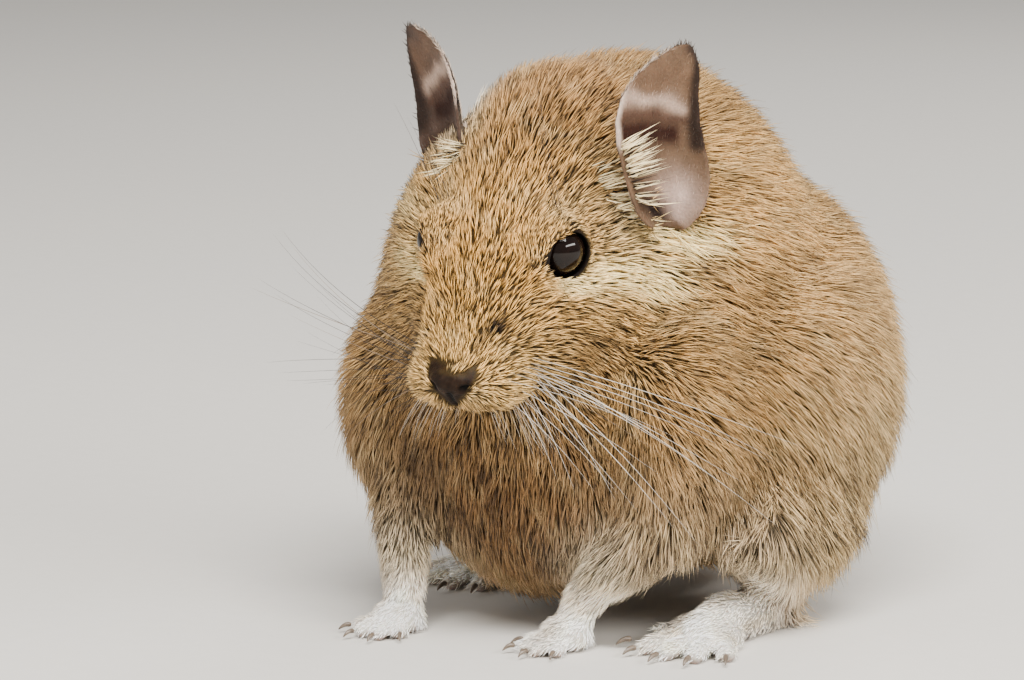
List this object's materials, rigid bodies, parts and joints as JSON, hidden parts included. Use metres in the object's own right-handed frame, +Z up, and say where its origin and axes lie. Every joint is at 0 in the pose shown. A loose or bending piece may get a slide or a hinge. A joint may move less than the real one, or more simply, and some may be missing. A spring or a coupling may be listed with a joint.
{
  "type": "degu figure",
  "caption": "Life-size still figure of a crouching degu, head turned to its left, tail laid on the floor in a curve and ending in a dark brush.",
  "frame": {"origin": "on the floor under the middle of the whole figure's box", "axes": "-Y the way the body faces, +X the animal's left, +Z up"},
  "size_m": [0.1482, 0.1656, 0.098],
  "materials": {
    "coat": "matt short fur, tan ticked with dark brown",
    "pale_fur": "matt, very short whitish fur",
    "ear_skin": "thin satin skin, grey brown",
    "eye": "wet gloss, near black",
    "nose_skin": "matt dark skin",
    "claw": "satin dark horn",
    "brush_hair": "matt black hair"
  },
  "bodies": {
    "root": {"torso": "coat", "neck": "coat", "head": "coat", "nose_pad": "nose_skin", "ear_left": "ear_skin", "ear_right": "ear_skin", "eye_left": "eye", "eye_right": "eye", "foreleg_left": "coat", "foreleg_right": "coat", "forefoot_left": "pale_fur", "forefoot_right": "pale_fur", "hindleg_left": "coat", "hindleg_right": "coat", "hindfoot_left": "pale_fur", "hindfoot_right": "pale_fur", "whiskers_left": "coat", "whiskers_right": "coat", "tail_base": "coat", "tail_middle": "coat", "tail_brush": "brush_hair", "claw_forefoot_left_1": "claw", "claw_forefoot_left_2": "claw", "claw_forefoot_left_3": "claw", "claw_forefoot_left_4": "claw", "claw_forefoot_right_1": "claw", "claw_forefoot_right_2": "claw", "claw_forefoot_right_3": "claw", "claw_forefoot_right_4": "claw", "claw_hindfoot_left_1": "claw", "claw_hindfoot_left_2": "claw", "claw_hindfoot_left_3": "claw", "claw_hindfoot_left_4": "claw", "claw_hindfoot_left_5": "claw", "claw_hindfoot_right_1": "claw", "claw_hindfoot_right_2": "claw", "claw_hindfoot_right_3": "claw", "claw_hindfoot_right_4": "claw", "claw_hindfoot_right_5": "claw"}
  },
  "joints": []
}
